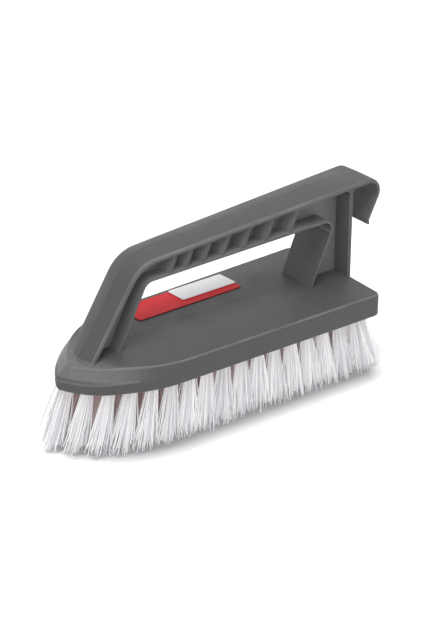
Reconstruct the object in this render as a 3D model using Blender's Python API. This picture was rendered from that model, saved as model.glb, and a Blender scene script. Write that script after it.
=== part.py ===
"""Laundry brush: a block and handle moulded in one piece, set with tufts of bristle.

X runs along the brush, from the pointed nose at -X to the hook at +X. Y is across it and Z is up.
Every piece is modelled in the block's own frame: X is zero at the block's rear face, Y is zero on
the mould's parting plane, and Z is zero at the edges of the block's top. An empty carries all of
them, and sets the bristle tips down on the plane Z = 0, centred on the origin.
"""

import math
import random

import bmesh
import bpy
import numpy as np
from mathutils import Matrix, Vector

MM = 0.001

# The block, seen from above: straight sides that draw in a little, and a boat-shaped nose.
block_length = 142.2 * MM
block_width = 60.0 * MM
block_thickness = 10.2 * MM
side_taper = 0.0276
rear_corner_radius = 3.0 * MM
nose_side_radius = 46.0 * MM
nose_tip_radius = 3.0 * MM

# The block, seen from the side: the nose dips, and its wall leans back above a crease.
nose_rake = 4.8 * MM
crease_depth = 5.0 * MM
nose_dip = 1.7 * MM
dip_start_from_nose = 22.2 * MM
dip_end_from_nose = 6.2 * MM
roof_rise = 1.2 * MM
top_edge_radius = 1.2 * MM
side_lower_radius = 0.8 * MM
nose_lower_radius = 2.2 * MM

# The handle's outer flange: up the leg, round the knee, back along the grip and down the hook.
leg_foot_from_nose = 12.0 * MM
leg_lean = math.radians(32.9)
knee_radius = 16.0 * MM
grip_height = 41.95 * MM
grip_slope = 0.062
flange_thickness = 1.8 * MM
flange_crown = 1.8 * MM
crown_power = 1.5
crown_fade_x = -10.0 * MM
flange_edge_radius = 0.5 * MM
handle_rear_width = 20.3 * MM
handle_front_width = 15.6 * MM
handle_root_depth = 2.8 * MM

# The hook, which carries the top flange on past the post.
hook_reach = 15.1 * MM
hook_radius = 6.2 * MM
hook_lean = math.radians(26.3)
hook_depth = 19.8 * MM
hook_crown = 0.2 * MM
hook_tip_thickness = 1.4 * MM
lip_radius = 1.2 * MM
lip_turn = math.radians(75)

# The inner flange, which lines the finger opening and comes down as the post's slanted plate.
opening_foot_from_nose = 24.8 * MM
opening_leg_lean = math.radians(26.6)
opening_height = 28.9 * MM
opening_slope = 0.022
opening_front_radius = 4.5 * MM
opening_rear_radius = 3.5 * MM
plate_foot_x = -22.1 * MM
plate_lean = math.radians(23.5)
inner_flange_thickness = 1.1 * MM

# The web between the flanges, the post's rear flange, and the ribs that cross the grip.
web_thickness = 3.0 * MM
rear_flange_thickness = 1.8 * MM
rear_flange_fillet = 2.2 * MM
edge_step = 0.15 * MM
rib_count = 7
first_rib_share = 0.6301
first_pitch_share = 0.05345
pitch_growth_share = 0.00703
rib_lean = math.radians(21)
rib_edge_thickness = 1.8 * MM
rib_root_thickness = 3.0 * MM
rib_recess = 0.5 * MM

# The tufts: one ring of them follows the block's edge, and rows fill the space inside it.
bristle_length = 26.0 * MM
tuft_radius = 2.3 * MM
tuft_clearance = 0.3 * MM
tuft_hole_depth = 5.0 * MM
tuft_edge_distance = 5.5 * MM
outer_tuft_count = 39
nose_lean = 9.8 * MM
nose_lean_power = 1.4
rear_lean = 5.6 * MM
side_lean = 2.4 * MM
upright_share = 0.34
inner_row_count = 13
row_ring_distance = 6.2 * MM
wide_row = (-1.5, -0.5, 0.5, 1.5)
narrow_row = (-0.5, 0.5)
inner_tuft_pitch = (block_width / 2 - tuft_edge_distance) / (wide_row[-1] + 1)
row_slice_thickness = 1.0 * MM
row_slice_width = 3.2 * MM
row_end_margin = 0.2 * MM
fan_gap = 1.1 * MM
outer_strands = 6
inner_strands = 4
strand_root_radius = 0.55 * MM
strand_tip_radius = 0.8 * MM
strand_root_depth = 1.0 * MM
strand_root_spread = 1.3 * MM
tip_jitter = 0.3 * MM
floor_trim = 0.5 * MM
cut_overshoot = 1.0 * MM

# The paper label and the sticker over its rear half, both on the far side of the block's top.
label_length = 52.0 * MM
label_width = 15.3 * MM
label_rear_x = -44.0 * MM
label_near_y = 9.0 * MM
sticker_length = 27.6 * MM
sticker_width = 11.2 * MM
sticker_rear_x = -43.7 * MM
sticker_near_y = 13.2 * MM
paper_thickness = 0.2 * MM
paper_gap = 0.2 * MM
paper_corner_radius = 0.8 * MM

# Steps along the curves, sides of the round pieces, and shading.
corner_steps = 4
side_arc_steps = 14
tip_arc_steps = 6
bend_steps = 9
hook_steps = 14
lip_steps = 4
fade_steps = 3
fine_steps = 40
outer_plug_sides = 8
inner_plug_sides = 6
outer_strand_sides = 4
inner_strand_sides = 3
quarter_turn_rise = 1 - math.cos(math.pi / 4)
gap_levels = 8
trim_tolerance = 0.0001 * MM
weld_distance = 0.005 * MM
plate_merge_distance = 0.01 * MM
smooth_angle = math.radians(30)
seed = 7


def clear_scene():
    for item in list(bpy.data.objects):
        bpy.data.objects.remove(item, do_unlink=True)


def make_collection(name):
    found = bpy.data.collections.new(name)
    bpy.context.scene.collection.children.link(found)
    return found


def make_material(name, colour, roughness):
    """A plastic, paper or bristle: none of them is metallic."""
    material = bpy.data.materials.new(name)
    material.use_nodes = True
    shader = material.node_tree.nodes["Principled BSDF"]
    shader.inputs["Base Color"].default_value = (*colour, 1)
    shader.inputs["Roughness"].default_value = roughness
    shader.inputs["Metallic"].default_value = 0
    return material


def make_object(name, mesh, collection):
    item = bpy.data.objects.new(name, mesh)
    collection.objects.link(item)
    return item


def mesh_from(name, form):
    """A mesh from a bmesh, with its faces turned outwards."""
    bmesh.ops.recalc_face_normals(form, faces=form.faces)
    mesh = bpy.data.meshes.new(name)
    form.to_mesh(mesh)
    form.free()
    return mesh


def make_helper(name, mesh, collection):
    """A solid that is only there to be joined to another or cut from it."""
    item = make_object(name, mesh, collection)
    item.hide_render = True
    item.display_type = "WIRE"
    return item


def add_boolean(item, other, operation):
    change = item.modifiers.new(other.name, "BOOLEAN")
    change.operation = operation
    change.solver = "EXACT"
    change.object = other


def evaluated_mesh(item):
    bpy.context.view_layer.update()
    graph = bpy.context.evaluated_depsgraph_get()
    return bpy.data.meshes.new_from_object(item.evaluated_get(graph))


def smooth_step(share):
    share = min(max(share, 0.0), 1.0)
    return share * share * (3 - 2 * share)


def blend(start, end, share):
    return start + (end - start) * share


def steps_between(start, end, count):
    return [blend(start, end, step / count) for step in range(count + 1)]


def loft(form, rings, capped=True):
    """Walls between rings that have as many points each, with an end face on the first and last."""
    made = [[form.verts.new(point) for point in ring] for ring in rings]
    for lower, upper in zip(made, made[1:]):
        for here in range(len(lower)):
            there = (here + 1) % len(lower)
            form.faces.new((lower[here], lower[there], upper[there], upper[here]))
    if capped:
        form.faces.new(reversed(made[0]))
        form.faces.new(made[-1])
    return made


def nose_arcs(length):
    """Centre of the nose's side arc, and the directions in which it starts and meets the tip's arc.

    Distances are measured forwards from the rear face and outwards from the middle, and a
    direction of zero points straight out to the side.
    """
    stretch = math.hypot(1, side_taper)
    offset = block_width / 2 - nose_side_radius * stretch
    tip_centre = length - nose_tip_radius
    reach = nose_side_radius - nose_tip_radius
    middle = tip_centre + offset * side_taper
    spread = middle**2 - stretch**2 * (tip_centre**2 + offset**2 - reach**2)
    forward = (middle - math.sqrt(spread)) / stretch**2
    outward = offset - side_taper * forward
    start = math.atan(side_taper)
    joint = math.atan2(tip_centre - forward, -outward)
    return forward, outward, start, joint


def arc_stations(centre, radius, start, end, count):
    """Points of an arc in plan, each with its outward direction."""
    stations = []
    for angle in steps_between(start, end, count):
        direction = (math.sin(angle), math.cos(angle))
        point = (centre[0] + radius * direction[0], centre[1] + radius * direction[1])
        stations.append((*point, *direction))
    return stations


def half_outline(length):
    """Half of the plan, from the middle of the rear face round one side to the tip of the nose."""
    forward, outward, start, joint = nose_arcs(length)
    corner = rear_corner_radius
    corner_centre = (corner, block_width / 2 - side_taper * corner - corner * math.hypot(1, side_taper))
    stations = [(0.0, 0.0, -1.0, 0.0)]
    stations += arc_stations(corner_centre, corner, -math.pi / 2, start, corner_steps)
    stations += arc_stations((forward, outward), nose_side_radius, start, joint, side_arc_steps)
    tip_centre = (length - nose_tip_radius, 0.0)
    stations += arc_stations(tip_centre, nose_tip_radius, joint, math.pi / 2, tip_arc_steps)[1:]
    return stations


def half_width(forward, length):
    """Half of the block's width at a distance forwards from the rear face."""
    arc_forward, arc_outward, start, joint = nose_arcs(length)
    tip_centre = length - nose_tip_radius
    if forward <= arc_forward + nose_side_radius * math.sin(start):
        return block_width / 2 - side_taper * forward
    if forward <= arc_forward + nose_side_radius * math.sin(joint):
        return arc_outward + math.sqrt(nose_side_radius**2 - (forward - arc_forward) ** 2)
    return math.sqrt(max(0.0, nose_tip_radius**2 - (forward - tip_centre) ** 2))


def from_nose(distance):
    """The x of a place that lies this far behind the nose."""
    return distance - block_length


def nose_share(x):
    """Zero behind the nose, rising to one where it has dipped in full."""
    start, end = from_nose(dip_start_from_nose), from_nose(dip_end_from_nose)
    return smooth_step((x - start) / (end - start))


def dip(x):
    return nose_dip * nose_share(x)


def underside(x):
    return -block_thickness - dip(x)


def top_height(forward, outward):
    """Height of the block's pitched top, which dips with the nose."""
    length = block_length - nose_rake
    edge = half_width(min(max(forward, 0.0), length), length)
    pitch = roof_rise / (block_width / 2)
    return pitch * (edge - outward) - dip(-forward)


def block_rings():
    """The block's section rings, from the underside up to the inside of the top's rounded edge."""
    lower = half_outline(block_length)
    upper = half_outline(block_length - nose_rake)
    halves = []
    for inset_share, rise_share in ((1, 0), (quarter_turn_rise, quarter_turn_rise), (0, 1)):
        half = []
        for forward, outward, along, across in lower:
            radius = blend(side_lower_radius, nose_lower_radius, nose_share(-forward))
            inset = radius * inset_share
            height = underside(-forward) + radius * rise_share
            half.append((forward - along * inset, outward - across * inset, height))
        halves.append(half)
    halves.append([(forward, outward, -crease_depth - dip(-forward)) for forward, outward, _, _ in lower])
    for inset_share, fall_share in ((0, 1), (quarter_turn_rise, quarter_turn_rise), (1, 0)):
        half = []
        for forward, outward, along, across in upper:
            inset = top_edge_radius * inset_share
            place = (forward - along * inset, outward - across * inset)
            half.append((*place, top_height(*place) - top_edge_radius * fall_share))
        halves.append(half)
    return halves


def fill_between(form, one, other):
    """Faces between two rows of points, down to a triangle where the rows meet."""
    for here in range(len(one) - 1):
        corners = dict.fromkeys((one[here], one[here + 1], other[here + 1], other[here]))
        form.faces.new(list(corners))


def sides_of(ring, count):
    """The near and far halves of a ring of the block, both from the rear's middle to the nose's tip."""
    return ring[:count], [ring[0]] + ring[: count - 2 : -1]


def make_block(name):
    """The block: lofted walls, an underside in cross strips and a top pitched to the parting plane."""
    form = bmesh.new()
    halves = block_rings()
    rings = []
    for half in halves:
        near = [Vector((-forward, -outward, height)) for forward, outward, height in half]
        far = [Vector((-forward, outward, height)) for forward, outward, height in half[-2:0:-1]]
        rings.append(near + far)
    made = loft(form, rings, capped=False)
    count = len(halves[-1])
    near, far = sides_of(made[0], count)
    form.faces.new([*near[:3], far[2], far[1]])
    fill_between(form, near[2:], far[2:])
    near, far = sides_of(made[-1], count)
    ridge = [near[0], near[0]]
    for forward, _, _ in halves[-1][2:-1]:
        ridge.append(form.verts.new((-forward, 0, top_height(forward, 0))))
    ridge.append(near[-1])
    for side in (near, far):
        fill_between(form, side[1:], ridge[1:])
    return mesh_from(name, form)


def direction_of(angle):
    return Vector((math.cos(angle), math.sin(angle)))


def bend_centre(first, first_angle, second, second_angle, radius):
    """Centre of the arc that rounds the corner of two lines, each a point and the way it faces."""
    one = direction_of(first_angle)
    two = direction_of(second_angle)
    sides = Matrix(((one.x, one.y), (two.x, two.y)))
    return sides.inverted() @ Vector((one.dot(first) - radius, two.dot(second) - radius))


def bend_stations(centre, radius, start, end, count):
    """Points of an arc in side view, each with the way its outer side faces."""
    return [(centre + radius * direction_of(angle), angle) for angle in steps_between(start, end, count)]


def point_at_height(point, facing, height):
    """Where the line through a point, seen from the side, passes a height."""
    along = direction_of(facing - math.pi / 2)
    return point + along * ((height - point.y) / along.y)


def grip_line(x):
    return grip_height + grip_slope * x


def opening_line(x):
    return opening_height + opening_slope * x


def handle_half_width(x):
    """Half of the handle's width, which draws in evenly from the rear to the leg's foot."""
    return blend(handle_rear_width, handle_front_width, x / from_nose(leg_foot_from_nose)) / 2


def outer_path():
    """The outer flange's edge line in side view, from the leg's foot to the hook's lip."""
    foot = Vector((from_nose(leg_foot_from_nose), 0))
    grip = Vector((0, grip_height))
    leg_facing = math.pi - leg_lean
    grip_facing = math.pi / 2 + math.atan(grip_slope)
    knee_centre = bend_centre(foot, leg_facing, grip, grip_facing, knee_radius)
    knee = bend_stations(knee_centre, knee_radius, leg_facing, grip_facing, bend_steps)
    leg = [(point_at_height(foot, leg_facing, -handle_root_depth), leg_facing)]
    return leg + knee, hook_stations(grip_facing)


def fade_stations(end_x, facing):
    """The stretch of the grip over which the crown fades out, each with how far it has faded."""
    stations = []
    for share in steps_between(0, 1, fade_steps)[:-1]:
        x = blend(crown_fade_x, end_x, share)
        stations.append((Vector((x, grip_line(x))), facing, smooth_step(share)))
    return stations


def hook_stations(grip_facing):
    """The hook: round its crest, down its straight and out at the lip."""
    across = hook_reach - hook_radius
    crest = Vector((across, grip_line(across) - hook_radius * math.hypot(1, grip_slope)))
    stations = bend_stations(crest, hook_radius, grip_facing, -hook_lean, hook_steps)
    bend_end = stations[-1][0]
    tip_height = grip_line(across) - hook_depth
    lip_height = tip_height + lip_radius * (math.sin(hook_lean) + math.sin(lip_turn - hook_lean))
    straight_end = point_at_height(bend_end, -hook_lean, lip_height)
    lip_centre = straight_end + lip_radius * direction_of(-hook_lean)
    for angle in steps_between(-hook_lean, lip_turn - hook_lean, lip_steps):
        stations.append((lip_centre - lip_radius * direction_of(angle), angle))
    return stations


def opening_path():
    """The finger opening's outline in side view, from the leg's foot to the slanted plate's foot."""
    foot = Vector((from_nose(opening_foot_from_nose), 0))
    top = Vector((0, opening_height))
    plate = Vector((plate_foot_x, 0))
    leg_facing = math.pi - opening_leg_lean
    top_facing = math.pi / 2 + math.atan(opening_slope)
    plate_facing = -plate_lean
    front_centre = bend_centre(foot, leg_facing, top, top_facing, opening_front_radius)
    rear_centre = bend_centre(top, top_facing, plate, plate_facing, opening_rear_radius)
    stations = [(point_at_height(foot, leg_facing, -handle_root_depth), leg_facing)]
    stations += bend_stations(front_centre, opening_front_radius, leg_facing, top_facing, bend_steps)
    stations += bend_stations(rear_centre, opening_rear_radius, top_facing, plate_facing, bend_steps)
    stations.append((point_at_height(plate, plate_facing, -handle_root_depth), plate_facing))
    return stations


def in_space(point, y):
    return Vector((point.x, y, point.y))


def crowned_section(point, facing, thickness, crown):
    """One section of the outer flange: a crowned face, rounded edges and a flat inner face."""
    outward = direction_of(facing)
    half = handle_half_width(point.x)
    edge = half - flange_edge_radius
    ring = [in_space(point - outward * thickness, half), in_space(point - outward * thickness, -half)]
    ring.append(in_space(point - outward * flange_edge_radius, -half))
    for share in (-1, -0.5, 0, 0.5, 1):
        rise = crown * (1 - abs(share * edge / half) ** crown_power)
        ring.append(in_space(point + outward * rise, share * edge))
    ring.append(in_space(point - outward * flange_edge_radius, half))
    return ring


def make_outer_flange(name):
    """The crowned strip of the leg, grip and hook, which thins towards the hook's lip."""
    leg, hook = outer_path()
    rings = [crowned_section(point, facing, flange_thickness, flange_crown) for point, facing in leg]
    for point, facing, share in fade_stations(hook[0][0].x, hook[0][1]):
        crown = blend(flange_crown, hook_crown, share)
        rings.append(crowned_section(point, facing, flange_thickness, crown))
    for step, (point, facing) in enumerate(hook):
        thickness = blend(flange_thickness, hook_tip_thickness, step / (len(hook) - 1))
        rings.append(crowned_section(point, facing, thickness, hook_crown))
    form = bmesh.new()
    loft(form, rings)
    return mesh_from(name, form)


def make_inner_flange(name):
    """The flat strip that lines the finger opening."""
    rings = []
    for point, facing in opening_path():
        half = handle_half_width(point.x)
        back = point + direction_of(facing) * inner_flange_thickness
        corners = ((point, -half), (point, half), (back, half), (back, -half))
        rings.append([in_space(place, y) for place, y in corners])
    form = bmesh.new()
    loft(form, rings)
    return mesh_from(name, form)


def make_rear_flange(name):
    """The post's upright rear flange, flared on both sides where it meets the top flange."""
    middle = -rear_flange_thickness / 2
    under = grip_line(middle) - flange_thickness
    half_width_here = handle_half_width(middle) - edge_step
    levels = [(-handle_root_depth, 0.0)]
    for angle in steps_between(0, math.pi / 2, corner_steps):
        height = under - rear_flange_fillet * (1 - math.sin(angle))
        levels.append((height, rear_flange_fillet * (1 - math.cos(angle))))
    levels.append((under + flange_thickness / 2, rear_flange_fillet))
    rings = []
    for height, flare in levels:
        half = rear_flange_thickness / 2 + flare
        ring = []
        for side, edge in ((-1, -1), (1, -1), (1, 1), (-1, 1)):
            ring.append(Vector((middle + side * half, edge * half_width_here, height)))
        rings.append(ring)
    form = bmesh.new()
    loft(form, rings)
    return mesh_from(name, form)


def make_plate(name, outline, half_thickness, collection):
    """A flat plate from an outline, its two faces welded to its rim."""
    curve = bpy.data.curves.new(name, "CURVE")
    curve.dimensions = "2D"
    curve.fill_mode = "BOTH"
    curve.extrude = half_thickness
    spline = curve.splines.new("POLY")
    spline.points.add(len(outline) - 1)
    for point, place in zip(spline.points, outline):
        point.co = (place[0], place[1], 0, 1)
    spline.use_cyclic_u = True
    guide = bpy.data.objects.new(name + "_outline", curve)
    collection.objects.link(guide)
    mesh = evaluated_mesh(guide)
    bpy.data.objects.remove(guide, do_unlink=True)
    form = bmesh.new()
    form.from_mesh(mesh)
    bmesh.ops.remove_doubles(form, verts=form.verts, dist=plate_merge_distance)
    form.to_mesh(mesh)
    form.free()
    mesh.name = name
    return mesh


def make_web(name, collection):
    """The thin web in the middle of the leg, grip and post, cut round the finger opening."""
    leg, _ = outer_path()
    outline = [point - direction_of(facing) * flange_thickness / 2 for point, facing in leg]
    rear = -rear_flange_thickness / 2
    outline.append(Vector((rear, grip_line(rear) - flange_thickness / 2)))
    outline.append(Vector((rear, -handle_root_depth)))
    for point, facing in reversed(opening_path()):
        outline.append(point + direction_of(facing) * inner_flange_thickness / 2)
    return make_plate(name, outline, web_thickness / 2, collection)


def rib_places():
    """Where each rib's middle meets the top flange: the pitch grows by an even step to the rear."""
    places = [-first_rib_share * block_length]
    for step in range(rib_count - 1):
        pitch_share = first_pitch_share + pitch_growth_share * step
        places.append(places[-1] + pitch_share * block_length)
    return places


def make_ribs(name):
    """The leaning ribs, thicker at the web than at their outer edges."""
    form = bmesh.new()
    for x in rib_places():
        top = grip_line(x) - flange_thickness / 2
        foot_x = x - (top - opening_line(x)) * math.tan(rib_lean)
        foot = opening_line(foot_x) + inner_flange_thickness / 2
        reach = handle_half_width(foot_x) - rib_recess
        rings = []
        for y, thickness in (
            (-reach, rib_edge_thickness),
            (-web_thickness / 4, rib_root_thickness),
            (web_thickness / 4, rib_root_thickness),
            (reach, rib_edge_thickness),
        ):
            half = thickness / 2 / math.cos(rib_lean)
            lower = [Vector((foot_x - half, y, foot)), Vector((foot_x + half, y, foot))]
            upper = [Vector((x + half, y, top)), Vector((x - half, y, top))]
            rings.append(lower + upper)
        loft(form, rings)
    return mesh_from(name, form)


def ring_line():
    """Half of the line that the ring of tufts follows, one distance inside the block's edge."""
    inset = tuft_edge_distance
    corner = max(rear_corner_radius - inset, 0.0)
    tip = max(nose_tip_radius - inset, 0.0)
    forward, outward, start, joint = nose_arcs(block_length)
    side = nose_side_radius - inset
    end = joint if tip else math.acos(-outward / side)
    turned_in = inset + corner
    tilt = math.hypot(1, side_taper)
    corner_centre = (turned_in, block_width / 2 - side_taper * turned_in - turned_in * tilt)
    stations = [(inset, 0.0, -1.0, 0.0)]
    stations += arc_stations(corner_centre, corner, -math.pi / 2, start, fine_steps)
    stations += arc_stations((forward, outward), side, start, end, fine_steps)
    tip_centre = (block_length - nose_tip_radius if tip else stations[-1][0], 0.0)
    stations += arc_stations(tip_centre, tip, end, math.pi / 2, fine_steps)
    return stations


def outer_tuft_places():
    """Evenly spaced holes along the ring's line, as (x, y), and their pitch."""
    half = ring_line()
    half.reverse()
    path = np.array(half)
    lengths = np.hypot(*np.diff(path[:, :2], axis=0).T)
    travelled = np.concatenate(([0.0], np.cumsum(lengths)))
    pitch = 2 * travelled[-1] / outer_tuft_count
    places = []
    for step in range((outer_tuft_count + 1) // 2):
        forward, outward = (np.interp(step * pitch, travelled, column) for column in path.T[:2])
        places.append((-forward, -outward))
    places += [(x, -y) for x, y in places[:0:-1]]
    return places, pitch


def ring_room(forward, outward):
    """Distance from a place inside the block to the line that the ring of tufts follows."""
    arc_forward, arc_outward, _, _ = nose_arcs(block_length)
    if forward < arc_forward:
        return half_width(forward, block_length) - tuft_edge_distance - outward
    return nose_side_radius - tuft_edge_distance - math.hypot(forward - arc_forward, outward - arc_outward)


def last_row_place():
    """How far forwards a narrow row can lie and still keep its distance from the ring."""
    arc_forward, arc_outward, _, _ = nose_arcs(block_length)
    across = narrow_row[-1] * inner_tuft_pitch - arc_outward
    reach = nose_side_radius - tuft_edge_distance - row_ring_distance
    return arc_forward + math.sqrt(reach**2 - across**2)


def inner_rows():
    """The rows inside the ring, as (x, the places across the brush), from the rear to the nose."""
    _, pitch = outer_tuft_places()
    rows = []
    for forward in steps_between(tuft_edge_distance + pitch, last_row_place(), inner_row_count - 1):
        is_wide = ring_room(forward, wide_row[-1] * inner_tuft_pitch) > row_ring_distance
        row = wide_row if is_wide else narrow_row
        rows.append((-forward, [share * inner_tuft_pitch for share in row]))
    return rows


def tip_shift(x, y):
    """How far a tuft's tips stand away from its root: on towards the nearer end, and out to the side."""
    upright_x = -upright_share * block_length
    if x > upright_x:
        along = rear_lean * (1 - x / upright_x)
    else:
        along = -nose_lean * ((upright_x - x) / (upright_x + block_length)) ** nose_lean_power
    return Vector((along, side_lean * y / (block_width / 2)))


def fan_reach():
    """How far a tuft's strands may spread and still clear the next tuft's."""
    _, pitch = outer_tuft_places()
    return (pitch - fan_gap) / 2


def add_prism(form, place, radius, sides, low, high):
    middle = Matrix.Translation((place[0], place[1], (low + high) / 2))
    bmesh.ops.create_cone(
        form, cap_ends=True, segments=sides, radius1=radius, radius2=radius, depth=high - low, matrix=middle
    )


def add_box(form, centre, size):
    place = Matrix.LocRotScale(centre, None, size)
    bmesh.ops.create_cube(form, size=1, matrix=place)


def make_tuft_holes(name):
    """One cutter for every blind hole."""
    form = bmesh.new()
    radius = tuft_radius + tuft_clearance
    places = [(x, y, outer_plug_sides) for x, y in outer_tuft_places()[0]]
    places += [(x, y, inner_plug_sides) for x, row in inner_rows() for y in row]
    for x, y, sides in places:
        add_prism(form, (x, y), radius, sides, underside(x) - cut_overshoot, underside(x) + tuft_hole_depth)
    return mesh_from(name, form)


def make_row_slots(name):
    """One cutter for the shallow slots that the rows' slices lie in."""
    form = bmesh.new()
    depth = row_slice_thickness + tuft_clearance
    for x, places in inner_rows():
        reach = places[-1] + tuft_radius + row_end_margin + tuft_clearance
        size = (row_slice_width + 2 * tuft_clearance, 2 * reach, depth + cut_overshoot)
        add_box(form, (x, 0, underside(x) + (depth - cut_overshoot) / 2), size)
    return mesh_from(name, form)


def make_body(parts, cutters):
    """The moulding: the block and every part of the handle as one piece, then the tuft holes."""
    body = make_object("brush_body", make_block("brush_body"), parts)
    joined = [
        make_helper("web", make_web("web", cutters), cutters),
        make_helper("outer_flange", make_outer_flange("outer_flange"), cutters),
        make_helper("inner_flange", make_inner_flange("inner_flange"), cutters),
        make_helper("rear_flange", make_rear_flange("rear_flange"), cutters),
        make_helper("grip_ribs", make_ribs("grip_ribs"), cutters),
    ]
    joined[0].rotation_euler.x = math.pi / 2
    for item in joined:
        add_boolean(body, item, "UNION")
    for item in (
        make_helper("row_slots", make_row_slots("row_slots"), cutters),
        make_helper("tuft_holes", make_tuft_holes("tuft_holes"), cutters),
    ):
        add_boolean(body, item, "DIFFERENCE")
    weld = body.modifiers.new("weld", "WELD")
    weld.merge_threshold = weld_distance
    return body


def strand_plan(count, draw):
    """Where a tuft's strands start, spread over its root: one in the middle and the rest round it."""
    turn = draw.uniform(0, 2 * math.pi)
    around = count - 1
    plan = [Vector((0, 0))]
    for step in range(around):
        plan.append(strand_root_spread * direction_of(turn + 2 * math.pi * step / around))
    return plan


def fan_strands(centre, lean, count, length, draw):
    """Root and tip of each strand. Every tip is its root moved out by one ratio, so none cross."""
    tip_height = -length - floor_trim
    spread = (fan_reach() - strand_tip_radius - tip_jitter) / strand_root_spread
    strands = []
    for start in strand_plan(count, draw):
        shake = Vector((draw.uniform(-1, 1), draw.uniform(-1, 1))) * tip_jitter / math.sqrt(2)
        end = start * spread + lean + shake
        root = Vector((centre.x + start.x, centre.y + start.y, strand_root_depth))
        strands.append((root, Vector((centre.x + end.x, centre.y + end.y, tip_height))))
    return strands


def add_strand(form, strand, sides):
    root, tip = strand
    along = tip - root
    turn = along.to_track_quat("Z", "Y").to_matrix().to_4x4()
    place = Matrix.Translation((root + tip) / 2) @ turn
    bmesh.ops.create_cone(
        form, cap_ends=True, segments=sides, radius1=strand_root_radius, radius2=strand_tip_radius,
        depth=along.length, matrix=place,
    )


def trim_at_floor(form, length):
    """Cuts the strands level where they stand, and closes each cut."""
    bmesh.ops.bisect_plane(
        form, geom=list(form.verts) + list(form.edges) + list(form.faces), dist=trim_tolerance,
        plane_co=(0, 0, -length), plane_no=(0, 0, -1), clear_outer=True,
    )
    open_edges = [edge for edge in form.edges if edge.is_boundary]
    bmesh.ops.holes_fill(form, edges=open_edges, sides=outer_strand_sides)


def make_tufts(name, root_mesh, strands, sides, length, parts, cutters):
    """A root and its strands, joined into one solid."""
    form = bmesh.new()
    for strand in strands:
        add_strand(form, strand, sides)
    trim_at_floor(form, length)
    tufts = make_object(name, root_mesh, parts)
    helper = make_helper(name + "_strands", mesh_from(name + "_strands", form), cutters)
    add_boolean(tufts, helper, "UNION")
    mesh = evaluated_mesh(tufts)
    tufts.modifiers.clear()
    tufts.data = mesh
    bpy.data.objects.remove(helper, do_unlink=True)
    return tufts


def make_outer_tufts(parts, cutters, material, draw):
    """The ring of tufts, each leaning out over the block's edge."""
    places, _ = outer_tuft_places()
    made = []
    for number, (x, y) in enumerate(places, start=1):
        name = f"outer_tuft_{number:02d}"
        length = bristle_length - dip(x)
        strands = fan_strands(Vector((0, 0)), tip_shift(x, y), outer_strands, length, draw)
        form = bmesh.new()
        add_prism(form, (0, 0), tuft_radius, outer_plug_sides, 0, tuft_hole_depth - tuft_clearance)
        root = mesh_from(name, form)
        tuft = make_tufts(name, root, strands, outer_strand_sides, length, parts, cutters)
        tuft.location = (x, y, underside(x))
        tuft.data.materials.append(material)
        made.append((tuft, strands))
    return made


def make_row_root(name, places, parts, cutters):
    """A thin slice of the backing, with the plug of each of its tufts standing on it."""
    form = bmesh.new()
    reach = places[-1] + tuft_radius + row_end_margin
    size = (row_slice_width, 2 * reach, row_slice_thickness)
    add_box(form, (0, 0, row_slice_thickness / 2), size)
    row_slice = make_object(name + "_slice", mesh_from(name + "_slice", form), parts)
    form = bmesh.new()
    for y in places:
        low = row_slice_thickness / 2
        add_prism(form, (0, y), tuft_radius, inner_plug_sides, low, tuft_hole_depth - tuft_clearance)
    plugs = make_helper(name + "_plugs", mesh_from(name + "_plugs", form), cutters)
    add_boolean(row_slice, plugs, "UNION")
    root = evaluated_mesh(row_slice)
    bpy.data.objects.remove(plugs, do_unlink=True)
    bpy.data.objects.remove(row_slice, do_unlink=True)
    return root


def make_inner_rows(parts, cutters, material, draw):
    """The rows inside the ring, each of two or four tufts."""
    made = []
    for number, (x, places) in enumerate(inner_rows(), start=1):
        name = f"inner_tuft_row_{number:02d}"
        length = bristle_length - dip(x)
        strands = []
        for y in places:
            strands += fan_strands(Vector((0, y)), tip_shift(x, y), inner_strands, length, draw)
        root = make_row_root(name, places, parts, cutters)
        row = make_tufts(name, root, strands, inner_strand_sides, length, parts, cutters)
        row.location = (x, 0, underside(x))
        row.data.materials.append(material)
        made.append((row, strands))
    return made


def rounded_rectangle(length, width, radius):
    corners = ((1, 1, 0), (-1, 1, 90), (-1, -1, 180), (1, -1, 270))
    outline = []
    for side_x, side_y, start in corners:
        centre = Vector((side_x * (length / 2 - radius), side_y * (width / 2 - radius)))
        for angle in steps_between(start, start + 90, corner_steps):
            outline.append(centre + radius * direction_of(math.radians(angle)))
    return outline


def make_paper(name, length, width, rear_x, near_y, lift, parts, material):
    """A thin sheet that lies along the far slope of the block's top."""
    outline = rounded_rectangle(length, width, paper_corner_radius)
    sheet = make_object(name, make_plate(name, outline, paper_thickness / 2, parts), parts)
    x = rear_x - length / 2
    y = near_y + width / 2
    height = top_height(-x, y) + lift + paper_thickness / 2
    sheet.location = (x, y, height)
    sheet.rotation_euler.x = -math.atan(roof_rise / (block_width / 2))
    sheet.data.materials.append(material)
    return sheet


def least_strand_gap(tufts):
    """The narrowest space between any two strands, measured level by level."""
    roots = []
    tips = []
    for item, strands in tufts:
        for root, tip in strands:
            roots.append(item.location + root)
            tips.append(item.location + tip)
    roots = np.array(roots)
    tips = np.array(tips)
    least = np.inf
    for share in steps_between(0, 1, gap_levels):
        points = roots + (tips - roots) * share
        apart = np.linalg.norm(points[:, None] - points[None], axis=2)
        np.fill_diagonal(apart, np.inf)
        least = min(least, apart.min() - 2 * blend(strand_root_radius, strand_tip_radius, share))
    return least, len(roots)


def extent_along_x(items):
    """The least and greatest X of the finished pieces."""
    bpy.context.view_layer.update()
    graph = bpy.context.evaluated_depsgraph_get()
    found = []
    for item in items:
        evaluated = item.evaluated_get(graph)
        found += [(evaluated.matrix_world @ Vector(corner)).x for corner in evaluated.bound_box]
    return min(found), max(found)


def shade(items):
    for item in items:
        item.data.shade_smooth()
        item.data.set_sharp_from_angle(angle=smooth_angle)


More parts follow.
